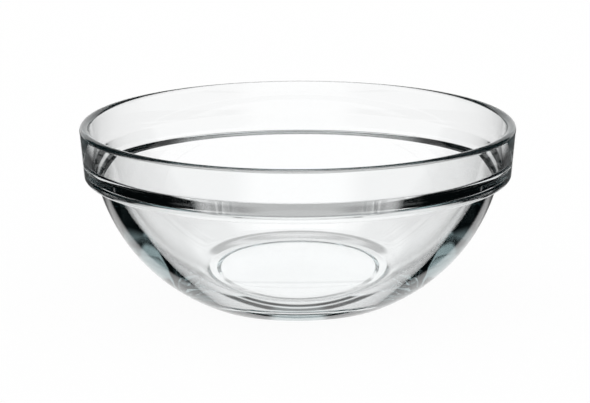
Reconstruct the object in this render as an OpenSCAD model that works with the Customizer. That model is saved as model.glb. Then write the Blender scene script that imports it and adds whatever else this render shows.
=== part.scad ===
// Stackable prep bowl, pressed in one piece of clear glass.
// Millimetres, +Z up, with the origin at the centre of the foot, on the table.

/* [Rim] */
// Outer diameter across the lip
rim_d = 200; // [198:0.5:206]
// Height from the table to the top of the lip
bowl_h = 82.5; // [76:0.5:100]
// Thickness of the collar and of its fully rounded lip
rim_wall = 4.5; // [3.4:0.1:5]
// Lean of the collar away from upright, in degrees
collar_lean = 5; // [4:0.25:7]

/* [Shoulder] */
// Height of the collar, from the shoulder's underside, which meets the lip below in a stack, to its own lip
collar_h = 25; // [23.5:0.25:28.5]
// Rounding of the shoulder's lower edge
shoulder_edge_r = 2.8; // [1.5:0.1:3.2]
// Fillet between the shoulder's underside and the body
shoulder_root_r = 1; // [0.5:0.1:1.6]
// How far the shoulder stands out from the body
shoulder_step = 5.6; // [5:0.1:7]
// Height above the shoulder's underside at which the collar's inner face would meet the ledge
cove_rise = 9.7; // [8.5:0.1:11]
// Lean of the sloping ledge inside the shoulder away from upright, in degrees
ledge_lean = 30.5; // [28:0.5:36]
// Hollow between the collar's inner face and the ledge
cove_r = 3; // [1:0.25:6]
// Rounding between the ledge and the inside of the wall
ledge_r = 4; // [1:0.25:6]

/* [Body] */
// Radius of the body's outer curve
body_arc_r = 84.5; // [80:0.5:95]
// Thickness of the wall beside the shoulder's underside, measured level
wall_top = 3.2; // [2.6:0.1:4]
// Radius of the body's inner curve
inner_arc_r = 89; // [84:0.5:102]
// Height of the floor above the table
floor_z = 9.2; // [6:0.1:10.5]
// Diameter at which the inner curve would meet the floor
floor_d = 93; // [84:0.5:97]
// Soft blend between the floor and the inner curve
floor_blend_r = 14; // [4:0.5:24]

/* [Foot] */
// Diameter at which the outer curve would meet the table
foot_d = 86; // [84:0.5:94]
// Rounding of the foot's outer edge
foot_edge_r = 1.5; // [0.6:0.1:2.5]
// Width of the foot ring, from the recess out to where the outer curve would meet the table
foot_ring_w = 3.7; // [3:0.1:8]
// Width of the sloping step around the recess
recess_step = 2; // [1:0.1:4]
// Depth of the recess
recess_depth = 1; // [0.4:0.1:2]

/* [Hidden] */

glass_colour = [0.78, 0.87, 0.86, 0.4];

// Facets round the bowl, and along the long curves and the small roundings of its section
turn_facets = 240;
curve_facets = 40;
edge_facets = 10;

// The section's driving places, as [radius, height]
shoulder_z = bowl_h - collar_h;
lip_r = rim_wall / 2;
lip_c = [rim_d / 2 - lip_r, bowl_h - lip_r];
foot_corner = [foot_d / 2, 0];
floor_corner = [floor_d / 2, floor_z];
recess_r = foot_d / 2 - foot_ring_w;

// Centre of the arc of radius r that sags outwards between a lower and an upper point
function arc_centre(low, high, r) =
    let (span = high - low, reach = norm(span))
    (low + high) / 2 + sqrt(r * r - reach * reach / 4) * [-span.y, span.x] / reach;

function heading(from, to) = atan2(to.y - from.y, to.x - from.x);

// Points of an arc about c, from angle a to angle b
function arc(c, r, a, b, facets) =
    [for (i = [0 : facets]) let (t = a + (b - a) * i / facets) c + r * [cos(t), sin(t)]];

// Place at height z that lies r away from c, on the side away from the axis
function beside(c, r, z) = [c.x + sqrt(r * r - (z - c.y) * (z - c.y)), z];

// First place that lies r away from c on the way from p along the unit step way
function meeting(p, way, c, r) =
    let (off = p - c, along = off * way)
    p - (along + sqrt(along * along - off * off + r * r)) * way;

// Place at height z that lies out beyond the lip's centre, measured square to the leaning collar
function collar_place(out, z) =
    [lip_c.x + (out + (z - lip_c.y) * sin(collar_lean)) / cos(collar_lean), z];

body_corner = collar_place(lip_r, shoulder_z) - [shoulder_step, 0];
wall_corner = body_corner - [wall_top, 0];
body_c = arc_centre(foot_corner, body_corner, body_arc_r);
inner_c = arc_centre(floor_corner, wall_corner, inner_arc_r);

// The ledge's straight slope: its upper corner, the way down it, and the way into the glass
ledge_corner = collar_place(-lip_r, shoulder_z + cove_rise);
ledge_way = -[sin(ledge_lean), cos(ledge_lean)];
ledge_inward = [cos(ledge_lean), -sin(ledge_lean)];
cove_reach = cove_r * tan((ledge_lean - collar_lean) / 2);

// Centres of the small roundings, each tangent to the two faces that it joins
foot_edge_c = beside(body_c, body_arc_r - foot_edge_r, foot_edge_r);
shoulder_root_c = beside(body_c, body_arc_r + shoulder_root_r, shoulder_z - shoulder_root_r);
shoulder_edge_c = collar_place(lip_r - shoulder_edge_r, shoulder_z + shoulder_edge_r);
cove_c = ledge_corner + cove_reach * ledge_way - cove_r * ledge_inward;
ledge_c = meeting(ledge_corner + ledge_r * ledge_inward, ledge_way, inner_c, inner_arc_r + ledge_r);
floor_blend_c = beside(inner_c, inner_arc_r - floor_blend_r, floor_z + floor_blend_r);

half_turn = 180;
up = half_turn / 2;
down = -up;
collar_out = -collar_lean;
collar_in = half_turn - collar_lean;
foot_turn = heading(body_c, foot_edge_c);
root_turn = heading(body_c, shoulder_root_c);
ledge_turn = heading(inner_c, ledge_c);
floor_turn = heading(inner_c, floor_blend_c);

// Half section, from the underside of the base out and up to the lip, then down the inside
section = concat(
    [[0, recess_depth], [recess_r - recess_step, recess_depth], [recess_r, 0]],
    arc(foot_edge_c, foot_edge_r, down, foot_turn, edge_facets),
    arc(body_c, body_arc_r, foot_turn, root_turn, curve_facets),
    arc(shoulder_root_c, shoulder_root_r, root_turn + half_turn, up, edge_facets),
    arc(shoulder_edge_c, shoulder_edge_r, down, collar_out, edge_facets),
    arc(lip_c, lip_r, collar_out, collar_in, 2 * edge_facets),
    arc(cove_c, cove_r, collar_out, -ledge_lean, edge_facets),
    arc(ledge_c, ledge_r, half_turn - ledge_lean, ledge_turn + half_turn, edge_facets),
    arc(inner_c, inner_arc_r, ledge_turn, floor_turn, curve_facets),
    arc(floor_blend_c, floor_blend_r, floor_turn, down, edge_facets),
    [[0, floor_z]]
);

module bowl() {
    color(glass_colour)
        rotate_extrude($fn = turn_facets)
            polygon(section);
}

bowl();
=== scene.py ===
import math
import bmesh
import bpy
from mathutils import Matrix, Vector


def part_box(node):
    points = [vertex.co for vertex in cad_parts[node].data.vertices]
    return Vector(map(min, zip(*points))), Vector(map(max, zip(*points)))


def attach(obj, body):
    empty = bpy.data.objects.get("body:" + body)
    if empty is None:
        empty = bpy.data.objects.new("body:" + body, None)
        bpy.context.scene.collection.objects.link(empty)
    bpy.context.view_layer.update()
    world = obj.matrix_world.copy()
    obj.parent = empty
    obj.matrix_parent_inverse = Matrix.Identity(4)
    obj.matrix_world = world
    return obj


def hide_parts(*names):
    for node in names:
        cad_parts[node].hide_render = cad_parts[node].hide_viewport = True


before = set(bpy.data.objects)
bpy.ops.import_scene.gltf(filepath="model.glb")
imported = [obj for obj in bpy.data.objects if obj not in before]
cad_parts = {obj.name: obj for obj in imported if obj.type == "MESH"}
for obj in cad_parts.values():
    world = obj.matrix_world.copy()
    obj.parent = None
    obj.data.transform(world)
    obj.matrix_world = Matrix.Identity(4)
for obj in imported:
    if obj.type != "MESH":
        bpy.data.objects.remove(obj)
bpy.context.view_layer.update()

scene = bpy.context.scene
perMetre = 1000  # the bowl's section is drawn in millimetres
print("frame loaded:", sorted(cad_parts))


class Wire:  # a node socket that takes part in plain sums
    def __init__(self, board, socket):
        self.board, self.socket = board, socket

    def sum(self, kind, first, second):
        return self.board.add("ShaderNodeMath", {"operation": kind}, {0: first, 1: second})

    def __add__(self, other): return self.sum("ADD", self, other)
    def __radd__(self, other): return self.sum("ADD", other, self)
    def __sub__(self, other): return self.sum("SUBTRACT", self, other)
    def __rsub__(self, other): return self.sum("SUBTRACT", other, self)
    def __mul__(self, other): return self.sum("MULTIPLY", self, other)
    def __rmul__(self, other): return self.sum("MULTIPLY", other, self)
    def __gt__(self, other): return self.sum("GREATER_THAN", self, other)


class Board:  # the nodes of one material or of the world
    def __init__(self, owner):
        owner.use_nodes = True
        self.tree = owner.node_tree
        self.tree.nodes.clear()

    def add(self, kind, settings={}, sockets={}, out=0):
        node = self.tree.nodes.new(kind)
        for name, value in settings.items():
            setattr(node, name, value)
        for key, value in sockets.items():
            if isinstance(value, Wire):
                self.tree.links.new(value.socket, node.inputs[key])
            else:
                node.inputs[key].default_value = value
        return Wire(self, node.outputs[out]) if len(node.outputs) else node

    def step(self, value, low, high):  # 0 below low, 1 above high, soft between
        return self.add("ShaderNodeMapRange", {"interpolation_type": "SMOOTHSTEP"},
                        {"Value": value, "From Min": low, "From Max": high})


def place(mesh, name, material):  # a bmesh becomes an object at the origin
    data = bpy.data.meshes.new(name)
    mesh.to_mesh(data)
    mesh.free()
    data.materials.append(material)
    obj = bpy.data.objects.new(name, data)
    scene.collection.objects.link(obj)
    return obj


# Glass of the bowl
glassLook = {
    "ior": 1.52,
    "tint": (0.80, 0.95, 0.97, 1),             # colour that a long way through the glass takes on
    "density": 8.0,                            # absorption per metre
    "swell": 26.0, "swellDetail": 1.0,         # slow waves left by the mould, per metre
    "chill": 190.0, "chillDetail": 2.0,        # finer marks of the chilled skin, per metre
    "chillRange": (0.45, 0.75),                # where these marks begin and where they are full
    "rippleDepth": 0.000012,
    "rough": (0.0, 0.008),                     # away from the marks and on them
}


def makeGlass(s):
    material = bpy.data.materials.new("clearPressedGlass")
    b = Board(material)
    spot = b.add("ShaderNodeTexCoord", out="Object")
    swell = b.add("ShaderNodeTexNoise", {}, {"Vector": spot, "Scale": s["swell"], "Detail": s["swellDetail"]})
    chill = b.add("ShaderNodeTexNoise", {}, {"Vector": spot, "Scale": s["chill"], "Detail": s["chillDetail"]})
    low, high = s["rough"]
    rough = low + (high - low) * b.step(chill, *s["chillRange"])
    bump = b.add("ShaderNodeBump", {}, {"Strength": 1.0, "Distance": s["rippleDepth"], "Height": swell})
    body = b.add("ShaderNodeBsdfPrincipled", {}, {
        "Base Color": (1, 1, 1, 1), "Roughness": rough, "IOR": s["ior"],
        "Transmission Weight": 1.0, "Normal": bump})
    depth = b.add("ShaderNodeVolumeAbsorption", {}, {"Color": s["tint"], "Density": s["density"]})
    b.add("ShaderNodeOutputMaterial", {}, {"Surface": body, "Volume": depth})
    return material


# The bowl, in millimetres and degrees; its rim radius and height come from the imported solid
bowlShape = {
    "lipWall": 4.5, "collarLean": 5.0,
    "collarTall": 25.0, "shoulderEdge": 2.8, "shoulderRoot": 1.0, "shoulderStep": 5.6,
    "coveRise": 9.7, "ledgeLean": 30.5, "cove": 3.0, "ledge": 4.0,
    "bodyArc": 84.5, "wallTop": 3.2, "innerArc": 89.0,
    "floorZ": 9.2, "floorWide": 93.0, "floorBlend": 14.0,
    "footWide": 86.0, "footEdge": 1.5, "footRing": 3.7,
    "recessStep": 2.0, "recessDepth": 1.0, "recessSoft": 0.5,
    "recessFlat": 0.9,                         # share of the recess's flat that is drawn before its corner
    # facets along each stretch of the section, then round the bowl
    "steps": {"flat": 4, "recess": 5, "foot": 10, "body": 48, "root": 8, "edge": 14, "lip": 28,
              "cove": 12, "ledge": 12, "inner": 44, "blend": 14},
    "turns": 256,
    "weld": 1e-6,                              # metres
}


class Pen:  # draws the half section: a vertex is extruded along lines and spun along arcs
    leastLine = 1e-7  # metres

    def __init__(self, x, z):
        self.mesh = bmesh.new()
        self.tip = self.mesh.verts.new((x / perMetre, 0, z / perMetre))

    def line(self, x, z, steps=1):
        start = self.tip.co.copy()
        end = Vector((x / perMetre, 0, z / perMetre))
        if (end - start).length < self.leastLine:
            return
        for i in range(steps):
            made = bmesh.ops.extrude_vert_indiv(self.mesh, verts=[self.tip])
            self.tip = made["verts"][0]
            self.tip.co = start.lerp(end, (i + 1) / steps)

    def arc(self, centre, radius, start, end, steps):  # angles run from +X towards +Z
        self.line(centre.x + radius * math.cos(start), centre.y + radius * math.sin(start))
        made = bmesh.ops.spin(self.mesh, geom=[self.tip], cent=(centre.x / perMetre, 0, centre.y / perMetre),
                              axis=(0, -1, 0), angle=end - start, steps=steps, use_duplicate=False)
        self.tip = [g for g in made["geom_last"] if isinstance(g, bmesh.types.BMVert)][0]

    def corner(self, at, onward, radius, steps):  # rounds the corner between two straight runs
        here = Vector((self.tip.co.x, self.tip.co.z)) * perMetre
        way, leave = (at - here).normalized(), (onward - at).normalized()
        turn = way.angle_signed(leave)  # positive turns clockwise
        reach = radius * math.tan(abs(turn) / 2)
        side = 1 if turn > 0 else -1
        start = at - way * reach
        centre = start + Vector((way.y, -way.x)) * radius * side
        first = heading(centre, start)
        self.arc(centre, radius, first, first - turn, steps)


def heading(a, b):
    return math.atan2(b.y - a.y, b.x - a.x)


def arcCentre(low, high, radius):  # arc that sags outwards between two points
    span = high - low
    rise = math.sqrt(radius ** 2 - span.length_squared / 4)
    return (low + high) / 2 + rise * Vector((-span.y, span.x)) / span.length


def beside(centre, radius, z):  # point at a height that lies the radius from the centre, away from the axis
    return Vector((centre.x + math.sqrt(radius ** 2 - (z - centre.y) ** 2), z))


def meeting(start, way, centre, radius):  # first point on the way that lies the radius from the centre
    off = start - centre
    along = off.dot(way)
    return start - (along + math.sqrt(along ** 2 - off.length_squared + radius ** 2)) * way


def makeBowl(s, material):
    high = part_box("bowl")[1]
    rim, tall = high.x * perMetre, high.z * perMetre
    lean = math.radians(s["collarLean"])
    up, half = math.pi / 2, math.pi
    lipRound = s["lipWall"] / 2
    lip = Vector((rim - lipRound, tall - lipRound))

    def collar(out, z):  # point of the leaning collar, out from the lip's centre
        return Vector((lip.x + (out + (z - lip.y) * math.sin(lean)) / math.cos(lean), z))

    # centres of the section's arcs
    shoulder = tall - s["collarTall"]
    bodyTop = collar(lipRound, shoulder) - Vector((s["shoulderStep"], 0))
    wallTop = bodyTop - Vector((s["wallTop"], 0))
    body = arcCentre(Vector((s["footWide"] / 2, 0)), bodyTop, s["bodyArc"])
    inside = arcCentre(Vector((s["floorWide"] / 2, s["floorZ"])), wallTop, s["innerArc"])
    foot = beside(body, s["bodyArc"] - s["footEdge"], s["footEdge"])
    root = beside(body, s["bodyArc"] + s["shoulderRoot"], shoulder - s["shoulderRoot"])
    edge = collar(lipRound - s["shoulderEdge"], shoulder + s["shoulderEdge"])
    slope = math.radians(s["ledgeLean"])
    ledgeTop = collar(-lipRound, shoulder + s["coveRise"])
    downLedge = Vector((-math.sin(slope), -math.cos(slope)))
    intoGlass = Vector((math.cos(slope), -math.sin(slope)))
    cove = ledgeTop + s["cove"] * (math.tan((slope - lean) / 2) * downLedge - intoGlass)
    ledge = meeting(ledgeTop + s["ledge"] * intoGlass, downLedge, inside, s["innerArc"] + s["ledge"])
    blend = beside(inside, s["innerArc"] - s["floorBlend"], s["floorZ"] + s["floorBlend"])

    # from the underside of the base out and up to the lip, then down the inside
    steps = s["steps"]
    recess = s["footWide"] / 2 - s["footRing"]
    stepTop = Vector((recess - s["recessStep"], s["recessDepth"]))
    stepFoot = Vector((recess, 0))
    pen = Pen(0, s["recessDepth"])
    pen.line(stepTop.x * s["recessFlat"], stepTop.y, steps["flat"])
    pen.corner(stepTop, stepFoot, s["recessSoft"], steps["recess"])
    pen.corner(stepFoot, Vector((foot.x, 0)), s["recessSoft"], steps["recess"])
    pen.arc(foot, s["footEdge"], -up, heading(body, foot), steps["foot"])
    pen.arc(body, s["bodyArc"], heading(body, foot), heading(body, root), steps["body"])
    pen.arc(root, s["shoulderRoot"], heading(body, root) + half, up, steps["root"])
    pen.arc(edge, s["shoulderEdge"], -up, -lean, steps["edge"])
    pen.arc(lip, lipRound, -lean, half - lean, steps["lip"])
    pen.arc(cove, s["cove"], -lean, -slope, steps["cove"])
    pen.arc(ledge, s["ledge"], half - slope, heading(inside, ledge) + half, steps["ledge"])
    pen.arc(inside, s["innerArc"], heading(inside, ledge), heading(inside, blend), steps["inner"])
    pen.arc(blend, s["floorBlend"], heading(inside, blend), -up, steps["blend"])
    pen.line(0, s["floorZ"], steps["flat"])

    mesh = pen.mesh
    bmesh.ops.spin(mesh, geom=mesh.verts[:] + mesh.edges[:], cent=(0, 0, 0), axis=(0, 0, 1),
                   angle=2 * math.pi, steps=s["turns"], use_merge=True)
    bmesh.ops.remove_doubles(mesh, verts=mesh.verts[:], dist=s["weld"])
    bmesh.ops.recalc_face_normals(mesh, faces=mesh.faces[:])
    for face in mesh.faces:
        face.smooth = True
    print("bowl faces:", len(mesh.faces), "open edges:", sum(not e.is_manifold for e in mesh.edges))
    return place(mesh, "glassBowl", material)


bowl = makeBowl(bowlShape, makeGlass(glassLook))
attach(bowl, "root")
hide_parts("bowl")
print("bowl made")


# Floor under the bowl: white to the camera, with part of it lit so that the shadow shows
floorLook = {"radius": 6.0, "sides": 96, "drop": 0.0003, "colour": (0.93, 0.93, 0.93, 1), "lit": 0.06}


def makeFloor(s):
    material = bpy.data.materials.new("paleFloor")
    b = Board(material)
    paper = b.add("ShaderNodeBsdfDiffuse", {}, {"Color": s["colour"]})
    white = b.add("ShaderNodeEmission", {}, {"Color": (1, 1, 1, 1), "Strength": 1.0})
    seen = b.add("ShaderNodeLightPath", out="Is Camera Ray")
    mix = b.add("ShaderNodeMixShader", {}, {0: seen * (1 - s["lit"]), 1: paper, 2: white})
    b.add("ShaderNodeOutputMaterial", {}, {"Surface": mix})
    mesh = bmesh.new()
    bmesh.ops.create_circle(mesh, cap_ends=True, segments=s["sides"], radius=s["radius"])
    bmesh.ops.translate(mesh, verts=mesh.verts[:], vec=(0, 0, -s["drop"]))
    floor = place(mesh, "floor", material)
    floor.visible_transmission = False  # the glass looks past the floor, to the world and its painted reflections and shade
    floor.visible_glossy = False


makeFloor(floorLook)

# Studio round the bowl: white, with painted reflections and shade in the glass, sorted by the path the light took
# in it.
# Straight light through both walls is darkened in a strip low behind (painted shade), light reflected once is
# darkened in patches (painted dark reflections), and light reflected more often is dark but for a few bright
# patches (painted reflections); the same direction shows differently to each kind of light
studioWithPaintedReflections = {
    # each patch: start and end in degrees off the back, lower and upper elevation, strength, softness of its edge
    # painted shade: patches that darken only light that went straight through both walls
    "paintedShadeSeenThrough": [
        (-9, 40, -38.5, -31.5, 0.55, 2), (-9, 40, -46, -38.5, 0.25, 2),
        (-9, 40, -43.2, -41.2, 0.35, 0.8), (-9, 40, -64, -46, 0.95, 2),
    ],
    # painted dark reflections: patches that darken only light reflected once in the glass
    "paintedDarkReflections": [
        (32, 110, -56, -4, 1.0, 3), (105, 150, -56, -4, 1.0, 10), (34, 80, -3, 58, 1.0, 4),
        (12, 34, -19, -6, 0.9, 2), (-9, 34, 28, 60, 1.0, 2),
        (-9, 12, -49, -46, 1.0, 0.8), (-9, 12, -44.5, -40, 1.0, 1),
    ],
    # painted reflections: the only bright patches for light reflected more than once, which is painted dark
    # everywhere else
    "paintedBrightReflections": [
        (45, 80, 4, 20, 0.45, 3), (80, 105, 4, 12, 0.2, 3),
        (-9, 8, -2, 20, 0.6, 2), (-9, 105, 56, 99, 1.0, 4),
    ],
    # colour of the painted dark reflections and shade
    "paintedShadeColour": (0.0013, 0.0020, 0.0022, 1),
    "lamp": 1.0, "lampSize": 1.2, "lampPlace": (0, 0.1, 1.6),
}


def makeStudioWithPaintedReflections(s):
    world = bpy.data.worlds.new("studioWithPaintedReflections")
    scene.world = world
    b = Board(world)
    way = b.add("ShaderNodeTexCoord", out="Generated")
    x, y, z = (Wire(b, p) for p in b.add("ShaderNodeSeparateXYZ", {}, {0: way}).socket.node.outputs)
    across = b.add("ShaderNodeMath", {"operation": "ABSOLUTE"}, {0: x})
    azimuth = b.add("ShaderNodeMath", {"operation": "ARCTAN2"}, {0: across, 1: y}) * math.degrees(1)
    height = b.add("ShaderNodeMath", {"operation": "ARCSINE"}, {0: z}) * math.degrees(1)

    def inside(value, low, high, soft):
        return b.step(value, low - soft, low + soft) * (1 - b.step(value, high - soft, high + soft))

    def outside(patches):  # 1 away from all the patches
        left = 1.0
        for start, end, low, high, strength, soft in patches:
            left = left * (1 - strength * inside(azimuth, start, end, soft) * inside(height, low, high, soft))
        return left

    # painted reflections and shade: which patches darken the world depends on how often the light was reflected
    # in or crossed the glass
    reflections = b.add("ShaderNodeLightPath", out="Glossy Depth")
    crossings = b.add("ShaderNodeLightPath", out="Transmission Depth")
    diffuse = b.add("ShaderNodeLightPath", out="Is Diffuse Ray")
    reflected, again = reflections > 0.5, reflections > 1.5
    through = (1 - reflected) * (crossings > 2.5)
    paintedShadeAmount = (reflected - again) * (1 - outside(s["paintedDarkReflections"])) + again * outside(s["paintedBrightReflections"])
    paintedShadeAmount = paintedShadeAmount + through * (1 - outside(s["paintedShadeSeenThrough"]))
    white = b.add("ShaderNodeBackground", {}, {"Color": (1, 1, 1, 1), "Strength": 1.0})
    # the painted dark of these reflections and shade
    paintedShadeBackground = b.add("ShaderNodeBackground", {}, {"Color": s["paintedShadeColour"], "Strength": 1.0})
    mix = b.add("ShaderNodeMixShader", {}, {0: (1 - diffuse) * paintedShadeAmount, 1: white, 2: paintedShadeBackground})
    b.add("ShaderNodeOutputWorld", {}, {"Surface": mix})

    lamp = bpy.data.lights.new("softbox", "AREA")
    lamp.shape = "DISK"
    lamp.size = s["lampSize"]
    lamp.energy = s["lamp"]
    holder = bpy.data.objects.new("softbox", lamp)
    holder.location = s["lampPlace"]
    scene.collection.objects.link(holder)


makeStudioWithPaintedReflections(studioWithPaintedReflections)
print("floor and studio made")

# Camera at the photograph's angle, in metres and degrees; lens and sensor in millimetres
shot = {
    "distance": 1.8, "aimHeight": 0.0803, "sideways": -0.00137,
    "elevation": 11.97, "pitch": 13.05, "roll": 0.23,
    "lens": 239.7, "sensor": 36, "clip": (0.05, 60),
    "bounces": 64,                             # light crosses the glass many times before it leaves it
}


def makeCamera(s):
    camera = bpy.data.cameras.new("camera")
    camera.lens = s["lens"]
    camera.sensor_width = s["sensor"]
    camera.clip_start, camera.clip_end = s["clip"]
    holder = bpy.data.objects.new("camera", camera)
    high, away = math.radians(s["elevation"]), s["distance"]
    holder.location = (s["sideways"], -away * math.cos(high), s["aimHeight"] + away * math.sin(high))
    tilt = Matrix.Rotation(math.radians(90 - s["pitch"]), 4, "X")
    turn = tilt @ Matrix.Rotation(math.radians(-s["roll"]), 4, "Z")
    holder.rotation_euler = turn.to_euler()
    scene.collection.objects.link(holder)
    scene.camera = holder
    scene.cycles.max_bounces = s["bounces"]
    scene.cycles.transmission_bounces = s["bounces"]
    scene.cycles.glossy_bounces = s["bounces"]


makeCamera(shot)
scene.view_settings.view_transform = "Standard"
print("camera set")
